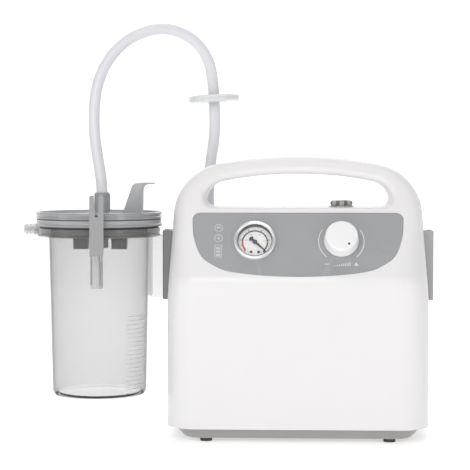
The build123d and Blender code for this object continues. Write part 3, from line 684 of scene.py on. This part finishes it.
def build_shells():
    points, faces = casing_surface()
    whole = bmesh.new()
    verts = [whole.verts.new(p) for p in points]
    for face in faces:
        whole.faces.new([verts[i] for i in face])
    base = mesh_of(whole, "casing_base")
    rear_holes = [(circle(3.7, 32), 60, 90, x, z) for x in (-126, 126) for z in (42, 150)]
    rear_holes += [(circle(4.6, 24), 30, 80, -110, 238), (circle(9.0, 40), 60, 90, 96, 52),
                   (circle(5.5, 32), 60, 90, -96, 48)]
    for name, way in (("front_casing", -1), ("rear_casing", 1)):
        work = bmesh.new()
        work.from_mesh(base)
        planes = (((0, SPLIT_Y + way * SEAM, 0), (0, -way, 0)), ((0, 0, SHELL_FOOT), (0, 0, -1)))
        for spot, normal in planes:
            everything = list(work.verts) + list(work.edges) + list(work.faces)
            bmesh.ops.bisect_plane(work, geom=everything, dist=1e-4, plane_co=spot, plane_no=normal,
                                   clear_outer=True)
        bmesh.ops.recalc_face_normals(work, faces=work.faces)
        to_metres = Matrix.Translation((CASE_X, 0, 0)) @ Matrix.Scale(MM, 4)
        bmesh.ops.transform(work, matrix=to_metres, verts=work.verts)
        shell = place_object(name, mesh_of(work, name))
        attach(shell, "root")
        wall = shell.modifiers.new("wall", "SOLIDIFY")
        wall.thickness = SHELL_WALL * MM
        wall.offset = -1
        shell.data = applied(shell)
        shell.modifiers.clear()
        if way < 0:
            saddle = Matrix.Translation((CASE_X + 0.052, -0.010, 0))
            cutters = [prism("pocket", panel_outline(0.3), -8, 3, slope_matrix()),
                       prism("switch_hole", circle(10.2), 255, 280, saddle)]
        else:
            cutters = [prism("hole", outline, near, far, rear_matrix(x, z))
                       for outline, near, far, x, z in rear_holes]
        work_in(shell, join_meshes("cutter", cutters), "DIFFERENCE")
        mesh = shell.data
        mesh.materials.clear()
        mesh.materials.append(MATERIALS["casing_white"])
        mesh.shade_smooth()
        mesh.set_sharp_from_angle(angle=radians(32))
        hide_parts("front_shell" if way < 0 else "rear_shell")


def rear_matrix(x, z):
    """Frame on the rear face: Z points to the rear."""
    axes = Matrix((Vector((-1, 0, 0)), Vector((0, 0, 1)), Vector((0, 1, 0)))).transposed().to_4x4()
    return Matrix.Translation((CASE_X + x * MM, 0, z * MM)) @ axes


# ---- small builders
def boolean(mesh, tools, operation):
    """Works other closed meshes into or out of a mesh."""
    piece = place_object("work", mesh)
    for tool in tools:
        work_in(piece, tool, operation)
    result = piece.data
    bpy.data.objects.remove(piece)
    finish_mesh(result)
    return result


def new_piece(name, mesh, material, body, slot, *nodes):
    """A piece on a body, standing for the CAD nodes named. Several meshes become one."""
    if isinstance(mesh, list):
        mesh = join_meshes(name, mesh)
    mesh.materials.clear()
    piece = place_object(name, mesh)
    mesh.materials.append(MATERIALS[material])
    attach(piece, body)
    if nodes:
        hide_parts(*nodes)
    return piece


def decal(name, outlines, matrix, material, body, slot, base=0.0, thick=0.12):
    """Flat prints of one colour, a tenth of a millimetre proud."""
    meshes = [prism(name, outline, base, base + thick, matrix) for outline in outlines]
    new_piece(name, meshes, material, body, slot)


def box_mesh(name, low, high, bevel=0.0, matrix=None):
    """A bevelled block between two corners, on the jar's axis unless another frame is given."""
    outline = rect(low[0], low[1], high[0], high[1])
    return prism(name, outline, low[2], high[2], matrix if matrix is not None else jar_matrix(), bevel)


def jar_matrix(turn=0.0):
    """Frame on the jar's axis, in millimetres, turned by degrees round it."""
    return Matrix.Translation((JAR_X, 0, 0)) @ spin(turn, "Z")


def jar_upright():
    """Frame on the jar's axis with X to the right and Y up."""
    quarter = Matrix(((1, 0, 0, 0), (0, 0, -1, 0), (0, 1, 0, 0), (0, 0, 0, 1)))
    return Matrix.Translation((JAR_X, 0, 0)) @ quarter


def shift(matrix, x=0.0, y=0.0, z=0.0):
    return matrix @ Matrix.Translation((x * MM, y * MM, z * MM))


# ---- control face
GAUGE = (-50.0, 49.8)
KNOB = (50.5, 49.8)
SWEEP = (-43.0, 223.0)        # the dial's zero and full scale, degrees


def polar(radius, degrees, x=0.0, y=0.0):
    a = radians(degrees)
    return (x + radius * cos(a), y + radius * sin(a))


def tick(inner, outer, degrees, width):
    """A short radial bar."""
    side = width / 2
    a = radians(degrees)
    across = (-sin(a) * side, cos(a) * side)
    near, far = polar(inner, degrees), polar(outer, degrees)
    return [(near[0] + across[0], near[1] + across[1]), (near[0] - across[0], near[1] - across[1]),
            (far[0] - across[0], far[1] - across[1]), (far[0] + across[0], far[1] + across[1])]


def words(name, text, size, matrix):
    """Mesh of a short number in Blender's own font, centred."""
    letters = bpy.data.curves.new(name, "FONT")
    letters.body = text
    letters.size = size
    letters.align_x = "CENTER"
    letters.align_y = "CENTER"
    letters.extrude = 0.05
    holder = place_object(name, letters)
    mesh = applied(holder)
    bpy.data.objects.remove(holder)
    mesh.transform(matrix @ Matrix.Scale(MM, 4))
    return mesh


def build_panel_prints():
    knob = slope_matrix(*KNOB)
    plate = -0.6                  # the panel's surface lies below the control face
    arcs = [ring_band(25.9, 26.9, 146, 229), ring_band(25.9, 26.9, -49, 34)]
    decal("regulator_arcs", arcs, knob, "print_white", "root", "casing_white", plate)
    minus = rect(-19.6, -29.6, -14.4, -28.6)
    more = [(14.0, -31.0), (19.4, -31.0), (16.7, -26.6)]
    steps = []
    for i in range(9):
        x = -9.6 + 2.4 * i
        steps.append(rect(x - 0.55, -31.6, x + 0.55, -31.6 + (0.7 + 0.5 * i)))
    decal("regulator_marks", [minus, more] + steps, knob, "print_white", "root", "casing_white", plate)
    low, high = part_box("indicator_window")
    mid = (low + high) / 2
    u = (mid.x - CASE_X) / MM
    v = (mid - SLOPE_FOOT).dot(SLOPE_UP) / MM
    window = slope_matrix(u, v) @ Matrix.Diagonal((1.35, 1.35, 1.0, 1.0))
    icons = []
    for y in (12.6, 2.6):
        for k in range(2):
            icons.append([(a, b + y) for a, b in ring_band(3.0, 3.7, 180 * k, 180 * k + 180, 20)])
    icons += [rect(-1.6, 12.0, 1.6, 13.4), rect(-1.2, 13.9, -0.5, 15.0), rect(0.5, 13.9, 1.2, 15.0)]
    icons.append([(0.6, 4.8), (-1.5, 2.3), (-0.1, 2.3), (-0.6, 0.4), (1.5, 3.0), (0.1, 3.0)])
    icons += [rect(x, -15.6, x + 0.6, -3.6) for x in (-3.2, 2.6)]
    icons += [rect(-2.6, y, 2.6, y + 0.6) for y in (-15.6, -4.2)]
    icons += [rect(-1.9, y, 1.9, y + 2.2) for y in (-14.4, -11.2, -8.0)]
    decal("indicator_icons", icons, window, "print_pale", "root", "casing_white", plate)


def build_gauge():
    gauge = slope_matrix(*GAUGE)
    bezel = lathe("gauge_ring", [(20.3, 1.0), (20.3, 2.4), (21.0, 3.4), (22.0, 4.1), (22.9, 4.4), (23.7, 4.2),
                                 (24.3, 3.6), (24.5, 2.6), (24.5, -0.6), (21.7, -0.6), (21.7, 1.0)],
                  matrix=gauge, smooth=50)
    new_piece("gauge_ring", bezel, "bezel_white", "root", "casing_white", "gauge_bezel")
    # The dial's throat, coloured near-black: painted shade in the recess behind the bezel
    inner = lathe("gauge_throat", [(20.25, -3.9), (20.25, 2.2), (19.85, 2.3), (19.6, 1.8), (19.6, -3.9)],
                  matrix=gauge)
    new_piece("gauge_throat", inner, "throat_painted_shade_and_dot", "root", "black_plastic")
    surface = -4.0                # the dial's face, below the control face
    red_from = 176
    arc = [ring_band(13.8, 15.2, SWEEP[0], red_from, 72)]
    ticks = []
    for i in range(51):
        angle = SWEEP[0] + (SWEEP[1] - SWEEP[0]) * i / 50
        if i % 10 == 0:
            ticks.append(tick(14.9, 17.4, angle, 0.9))
        elif i % 5 == 0:
            ticks.append(tick(14.9, 16.6, angle, 0.6))
        else:
            ticks.append(tick(14.9, 16.0, angle, 0.32))
    decal("dial_scale", arc + ticks, gauge, "print_black", "root", "needle_black", surface)
    red = ring_band(13.5, 15.3, red_from, SWEEP[1], 24)
    decal("dial_red_zone", [red], gauge, "print_red", "root", "needle_black", surface, 0.16)
    stops = [lathe("stop", [(0, -4), (1.6, -4), (1.6, -3.5), (1.3, -3.2), (0.4, -3.1), (0, -3.1)],
                   matrix=shift(gauge, x, y), steps=32)
             for x, y in ((-4.4, -12.4), (4.4, -12.4), (11.0, -11.7))]
    new_piece("dial_stops", stops, "print_black", "root", "needle_black")
    build_needle(gauge @ spin(SWEEP[0], "Z"))
    meshes = []
    for i in range(6):
        angle = SWEEP[0] + (SWEEP[1] - SWEEP[0]) * i / 5
        x, y = polar(11.3 if i in (0, 5) else 11.0, angle)
        text = "0" if i == 0 else "." + str(2 * i).zfill(2) if i < 5 else ".1"
        meshes.append(words("number", text, 2.5, shift(gauge, x, y, surface + 0.06)))
    new_piece("dial_numbers", meshes, "print_grey", "root", "needle_black")


def build_needle(matrix):
    """Pointer with a flag tail and a domed hub."""
    outline = [(-8.4, 0), (-6.4, 3.2), (-4.6, 2.6), (-4.2, 1.4), (0, 1.5), (15.3, 0.6), (15.3, -0.6),
               (0, -1.5), (-4.2, -1.4), (-4.6, -2.6), (-6.4, -3.2)]
    blade = prism("blade", outline, -2.7, -2.0, matrix, 0.1)
    hub = lathe("hub", [(0, -8), (0.8, -8), (0.8, -2.7), (2.6, -2.7), (2.6, -2.1), (2.2, -1.75), (0, -1.65)],
                matrix=matrix, steps=40)
    new_piece("gauge_pointer", [blade, hub], "print_black", "needle", "needle_black", "gauge_needle")


def build_knob():
    matrix = slope_matrix(*KNOB)
    low, face = knob_span()
    profile = [(0, low), (19.7, low), (20.2, low + 0.4), (20.2, low + 2.0), (19.9, low + 2.5),
               (19.6, low + 2.9),
               (18.9, face - 1.9), (18.6, face - 1.1), (18.0, face - 0.45), (17.2, face - 0.1), (16.2, face),
               (0, face)]
    mesh = lathe("regulator_knob_cap", profile, matrix=matrix, steps=128, smooth=50)
    new_piece("regulator_knob_cap", mesh, "knob_white", "regulator", "knob_white", "regulator_knob")
    dot = [polar(1.35, 15 * i, *polar(13.4, -52)) for i in range(24)]
    decal("regulator_mark", [dot], matrix, "throat_painted_shade_and_dot", "regulator", "rail_grey", face - 0.02)


def knob_span():
    """How far the knob reaches out of the control face, in millimetres."""
    spots = NODES["regulator_knob"].data.vertices
    reach = [(spot.co - SLOPE_FOOT).dot(SLOPE_OUT) / MM for spot in spots]
    return min(reach), max(reach)


# ---- switch boot
def build_boot():
    low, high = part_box("switch_boot")
    place = (low + high) / 2
    base = low.z / MM
    rings = [(14.5, 0.0, 0), (14.6, 0.5, 0), (14.2, 1.3, 0), (13.0, 1.7, 0), (12.2, 2.1, 0.1),
             (12.3, 3.0, 0.35), (12.7, 4.2, 0.6), (12.6, 5.4, 0.7), (11.9, 6.6, 0.75), (10.6, 7.6, 0.6),
             (8.8, 8.3, 0.35), (6.4, 8.7, 0.15), (3.2, 8.9, 0.0)]        # radius, height, depth of the folds
    steps = 120
    points, faces = [], []
    for radius, z, wave in rings:
        for i in range(steps):
            a = 2 * pi * i / steps
            lobe = abs(cos(4 * a)) ** 0.6 * 2 - 1
            r = radius + wave * lobe
            lift = 0.35 * wave * lobe
            points.append((place.x + r * cos(a) * MM, place.y + r * sin(a) * MM,
                           (base + z + lift) * MM))
    points.append((place.x, place.y, (base + 9.0) * MM))
    top = len(points) - 1
    for k in range(len(rings) - 1):
        for i in range(steps):
            j = (i + 1) % steps
            faces.append((k * steps + i, k * steps + j, (k + 1) * steps + j, (k + 1) * steps + i))
    last = (len(rings) - 1) * steps
    faces += [(last + i, last + (i + 1) % steps, top) for i in range(steps)]
    points.append((place.x, place.y, base * MM))
    foot = len(points) - 1
    faces += [((i + 1) % steps, i, foot) for i in range(steps)]
    mesh = mesh_from("switch_cover", points, faces, 60)
    cover = new_piece("switch_cover", mesh, "boot_rubber", "root", "rubber_clear", "switch_boot")
    cover.data.materials.append(MATERIALS["boot_fold_painted_shade"])
    # Faces in the fold valleys get the dark material: painted shade
    for polygon in cover.data.polygons:
        spot = polygon.center - place
        fold = abs(cos(4 * atan2(spot.y, spot.x))) < 0.62
        height = polygon.center.z / MM - base
        polygon.material_index = int(fold and 2.0 < height < 7.8)


# ---- jar
PORT_Z = 244.8                # level of the patient port
CUFF_X = 3.7                  # the hose connector stands off the jar's axis
LATCH_TURNS = (-85, 95)       # front and rear latch, degrees round the jar


def build_jar():
    """The clear vessel with its flange, hanging plate, patient port and graduations."""
    foot, mouth, low, high, wall, flange, brim = 46.5, 247.0, 56.5, 60.5, 2.5, 74.0, 236.6
    straight = foot + 5
    rise = brim - 3 - straight
    outer = [(0, foot + 1.4), (46, foot + 1.4), (48, foot + 0.4), (50, foot), (low - 3.2, foot + 0.3),
             (low - 1.6, foot + 1.1), (low - 0.5, foot + 2.6), (low, straight)]
    outer += [(low + (high - low) * t, straight + rise * t) for t in (0.25, 0.5, 0.75, 1.0)]
    outer += [(high + 0.3, brim - 1.4), (high + 1.6, brim), (flange - 0.8, brim), (flange, brim + 0.8),
              (flange, brim + 2.4), (flange - 0.8, brim + 3.1), (flange - 0.8, brim + 5.4),
              (flange, brim + 6.1),
              (flange, mouth - 0.6), (flange - 0.6, mouth)]
    inner = [(high - wall + 0.5, mouth), (high - wall, mouth - 0.6), (high - wall, 238)]
    inner += [(low - wall + (high - low) * t, foot + 6 + (238 - foot - 6) * t) for t in (0.66, 0.33, 0.0)]
    inner += [(low - wall - 0.7, foot + 4.6), (low - wall - 2.2, foot + 3.6), (low - wall - 5, foot + 3.4),
              (0, foot + 3.4)]
    vessel = lathe("jar_vessel", outer + inner, matrix=jar_matrix(), steps=144, smooth=30)
    slot_low, top = 165.3, 238.0
    hanger_end = (CASE_X - 0.1585 - JAR_X) / MM
    side = jar_upright()
    web = prism("web", [(59.4, slot_low), (62.4, slot_low - 3), (hanger_end - 3.6, slot_low - 3),
                        (hanger_end - 3.6, slot_low), (hanger_end + 1, slot_low), (hanger_end + 1, top),
                        (59.9, top)], -2.5, 2.5, side, 0.5)
    head = box_mesh("head", (hanger_end, -12.2, slot_low), (hanger_end + 4.0, 12.2, top), 0.5)
    brace = prism("brace", [(59.2, slot_low + 3), (60.4, slot_low), (64.0, slot_low), (64.0, top),
                            (59.9, top)], -9, 9, side, 0.6)
    port = shift(jar_matrix(), z=PORT_Z) @ spin(-90, "Y")
    reach = 91.0
    barbs = [(2.2, 73.6), (2.2, reach - 0.4), (2.6, reach), (5.2, reach), (5.6, reach - 1.5)]
    for back in (0.0, 4.4):
        barbs += [(7.0, reach - 3.6 - back), (7.0, reach - 4.4 - back), (5.4, reach - 4.6 - back),
                  (5.4, reach - 5.4 - back)]
    barbs += [(7.0, reach - 12.4), (7.0, reach - 13.2), (5.6, reach - 13.4), (5.6, 73.6)]
    stub = lathe("stub", barbs, matrix=port, steps=48)
    root_block = box_mesh("root_block", (-78, -6, 238.2), (-71, 6, 246.9), 0.8)
    fused = boolean(vessel, [web, brace, head], "UNION")
    fused = boolean(fused, [root_block], "UNION")
    vessel = new_piece("jar_vessel", fused, "jar_clear", "jar_unit", "jar_clear", "jar")
    for extra in ("jar_rim", "jar_edge_painted_shade", "jar_floor"):
        vessel.data.materials.append(MATERIALS[extra])
    # Index 2 paints a dark outline on the flange edge and the bottom corner (painted shade), index 1 gives
    # the flange the paler rim copy (painted light), index 3 is the clear floor
    for polygon in vessel.data.polygons:
        away = hypot(polygon.center.x - JAR_X, polygon.center.y) / MM
        height = polygon.center.z / MM
        if away > flange - 1.5 and brim - 0.2 < height < brim + 0.9 or height < foot + 0.35 and away > 50:
            polygon.material_index = 2
        elif height > brim - 0.5 and away > high + 0.5:
            polygon.material_index = 1
        elif height < foot + 4 and away < 48:
            polygon.material_index = 3
    # The stub takes the paler rim copy of the clear plastic: painted light
    new_piece("patient_stub", stub, "jar_rim", "jar_unit", "jar_clear")
    marks = []
    for i in range(19):
        z = 51.6 + 5.1 * i
        radius = low + (high - low) * max(0.0, (z - straight) / rise)
        band = ring_band(radius - 0.05, radius + 0.3, -49, -20, 16)
        marks.append(prism("mark", band, z - 0.45, z + 0.45, jar_matrix()))
    new_piece("jar_graduations", marks, "print_frost", "jar_unit", "jar_clear")


# ---- lid, latches and fittings
def build_lid():
    """The lid with its rim, lugs for the latches, thumb hook and the sockets below it."""
    profile = [(0, 258.5), (54, 258.5), (54, 240.6), (54.5, 240), (56.5, 240), (57, 240.6), (57, 249),
               (75.2, 249), (75.8, 249.3), (76, 249.9), (76, 251.6), (75.3, 252.1), (74.9, 252.8),
               (74.9, 256.2), (75.1, 256.9), (74.2, 257.3), (74.2, 258.1), (75.6, 258.5), (75.6, 260.4),
               (75.2, 260.9), (75.2, 262.4), (75.8, 262.9), (76, 263.4), (76, 264.9), (75.6, 265.6),
               (74.8, 266), (73.1, 266), (72.6, 265.6), (72.4, 262.5), (71.8, 262), (0, 262)]
    ring = lathe("lid_ring", profile, matrix=jar_matrix(), steps=144, smooth=28)
    lugs = []
    for turn in LATCH_TURNS:
        here = jar_matrix(turn)
        pivot = shift(here, 79.3, 0, 256) @ spin(90, "X")
        round_end = prism("lug", circle(2.4, 32), -5.4, 5.4, pivot, 0.3)
        arm = box_mesh("arm", (73.6, -5.4, 253.7), (79.3, 5.4, 258.3), 0.3, here)
        lugs += [arm, round_end]
    bore = lathe("bore", rect(0, 250, 4, 270), matrix=shift(jar_matrix(), CUFF_X), steps=32)
    ring = boolean(ring, [bore], "DIFFERENCE")
    lid = new_piece("lid_ring", ring, "lid_grey", "jar_unit", "lid_grey", "jar_lid")
    for extra in ("lid_painted_light", "lid_painted_shade", "lid_mid"):
        lid.data.materials.append(MATERIALS[extra])
    # Index 1 paints the top rim and the well paler (painted light), index 3 is the lighter middle band, index
    # 2 paints the groove and the lower lip dark (painted shade)
    for polygon in lid.data.polygons:
        away = hypot(polygon.center.x - JAR_X, polygon.center.y) / MM
        height = polygon.center.z / MM
        if height > 261.5 and away < 75:
            polygon.material_index = 1
        elif away > 70 and 252.2 < height < 256.8:
            polygon.material_index = 3
        elif away > 70 and (256.9 < height < 258.4 or height < 250):
            polygon.material_index = 2
    new_piece("lid_lugs", lugs, "lid_grey", "jar_unit", "lid_grey")
    side = jar_upright()
    outer = [(27, 261.9), (29, 264), (39.6, 294.5)] + arc3((39.6, 294.5), (41.4, 298.0), (44.8, 300.1), 5)
    outer += [(44.8, 300.1), (52, 300.8), (66.5, 300.9), (68, 300.2), (66.6, 299.3), (60, 298.9)]
    outer += arc3((60, 298.9), (55.6, 297.2), (53.6, 292.4), 6) + [(53.2, 288), (53.0, 264), (54.2, 261.9)]
    hook = prism("lid_hook", outer, -7, 7, side, 0.45)
    new_piece("lid_hook", hook, "hook_grey", "jar_unit", "lid_grey")
    meshes = []
    for left, right in ((-32, -12), (14, 35)):
        middle, half = (left + right) / 2, (right - left) / 2 - 1.5
        points, faces = [], []
        levels = [(221.0, 1.0, -1.3), (221.0, 1.0, 0.0), (240.0, 1.07, 0.0), (258.6, 1.12, 0.0)]
        for z, grow, inset in levels:
            for x, y in rounded_box(half * grow + inset, 8.5 * grow + inset, 1.6):
                points.append(jar_matrix() @ Vector(((middle + x) * MM, y * MM, z * MM)))
        n = len(rounded_box(5, 5, 1.6))
        for k in range(len(levels) - 1):
            here, above = k * n, (k + 1) * n
            faces += [(here + i, here + (i + 1) % n, above + (i + 1) % n, above + i) for i in range(n)]
        inner = len(points)
        for x, y in rounded_box(half - 1.3, 7.2, 1.0):
            points.append(jar_matrix() @ Vector(((middle + x) * MM, y * MM, 252 * MM)))
        faces += [(i, inner + i, inner + (i + 1) % n, (i + 1) % n) for i in range(n)]
        faces.append(tuple(inner + i for i in range(n)))
        faces.append(tuple(reversed([(len(levels) - 1) * n + i for i in range(n)])))
        meshes.append(mesh_from("socket", points, faces, 35))
    new_piece("lid_sockets", meshes, "socket_grey", "jar_unit", "lid_grey")


def build_connector():
    """The ribbed cuff that the hose is pushed into."""
    here = shift(jar_matrix(), CUFF_X)
    profile = [(4, 262), (8.6, 262), (9.2, 262.6), (9.2, 264.2), (8.7, 264.8), (8.7, 267.4)]
    ribs = []
    z = 267.4
    while z < 286:
        ribs += [(8.7, z), (9.15, z + 0.5), (9.15, z + 1.5), (8.7, z + 2.0)]
        z += 2.6
    profile += ribs + [(8.9, 288.2), (8.4, 289.0), (7.4, 289.0), (6.95, 288.4), (6.95, 279), (4, 279)]
    mesh = lathe("hose_cuff", profile, matrix=here, steps=64, smooth=30)
    turns = [here @ spin(30 * i, "Z") for i in range(12)]
    flutes = [box_mesh("flute", (8.5, -0.5, 266.5), (9.6, 0.5, 287.4), 0.2, turn) for turn in turns]
    new_piece("hose_cuff", [mesh] + flutes, "cuff_grey", "jar_unit", "lid_grey", "hose_connector")


# ---- CAD nodes kept as they are
KEPT = {
    "tray_grey": ["base_tray"],
    "rubber_dark": ["rubber_feet", "pump_mounts", "piston_cup"],
    "panel_grey": ["control_panel"],
    "window_grey": ["indicator_window"],
    "rail_grey": ["side_rail_right"],
    # The left rail takes the darker copy of the same rail grey: painted shade
    "rail_painted_shade": ["side_rail_left"],
    "dial_white": ["gauge_dial"],
    "hook_grey": ["standoffs"],
    "lens_clear": ["gauge_lens"],
    "black_plastic": ["gauge_case", "switch_body", "switch_rocker", "cooling_fan", "exhaust_silencer",
                      "dc_inlet"],
    "steel": ["casing_screws", "motor_can", "motor_shaft", "motor_bearings", "big_end_bearing", "head_screws",
              "latch_pins", "armature", "motor_magnets", "pump_frame"],
    "brass": ["regulator_spindle", "regulator_body", "regulator_nut"],
    "alloy": ["crankcase", "cylinder", "cylinder_head", "piston_rod", "crank_disc", "valve_plate"],
    "cage_clear": ["float_cage"],
    "float_white": ["float"],
    "cuff_grey": ["vacuum_inlet"],
    "latch_grey": ["latch_front", "latch_rear"],
    "gasket": ["lid_gasket"],
    "battery_blue": ["battery_pack"],
    "board_green": ["control_board"],
    "pipe_clear": ["vacuum_pipe", "gauge_pipe"],
    "filter_white": ["filter_upper", "filter_lower"],
    "membrane": ["filter_membrane"],
}
SOFT_EDGES = {"base_tray": 0.5, "side_rail_left": 0.4, "side_rail_right": 0.4, "latch_front": 0.35,
              "latch_rear": 0.35, "control_panel": 0.25, "vacuum_inlet": 0.3, "rubber_feet": 0.5}


def dress_nodes():
    """Materials for the CAD nodes that stay, and a small bevel on the larger mouldings."""
    for material, names in KEPT.items():
        for name in names:
            piece = NODES[name]
            piece.data.materials.clear()
            piece.data.materials.append(MATERIALS[material])
            if name in SOFT_EDGES:
                weld = piece.modifiers.new("weld", "WELD")
                weld.merge_threshold = 0.00001
                bevel = piece.modifiers.new("bevel", "BEVEL")
                bevel.width = SOFT_EDGES[name] * MM
                bevel.segments = 2
                bevel.limit_method = "ANGLE"
                bevel.angle_limit = radians(40)
                bevel.harden_normals = False


build_stage()
build_hoses()
build_shells()
build_panel_prints()
build_gauge()
build_knob()
build_boot()
build_jar()
build_lid()
build_connector()
dress_nodes()
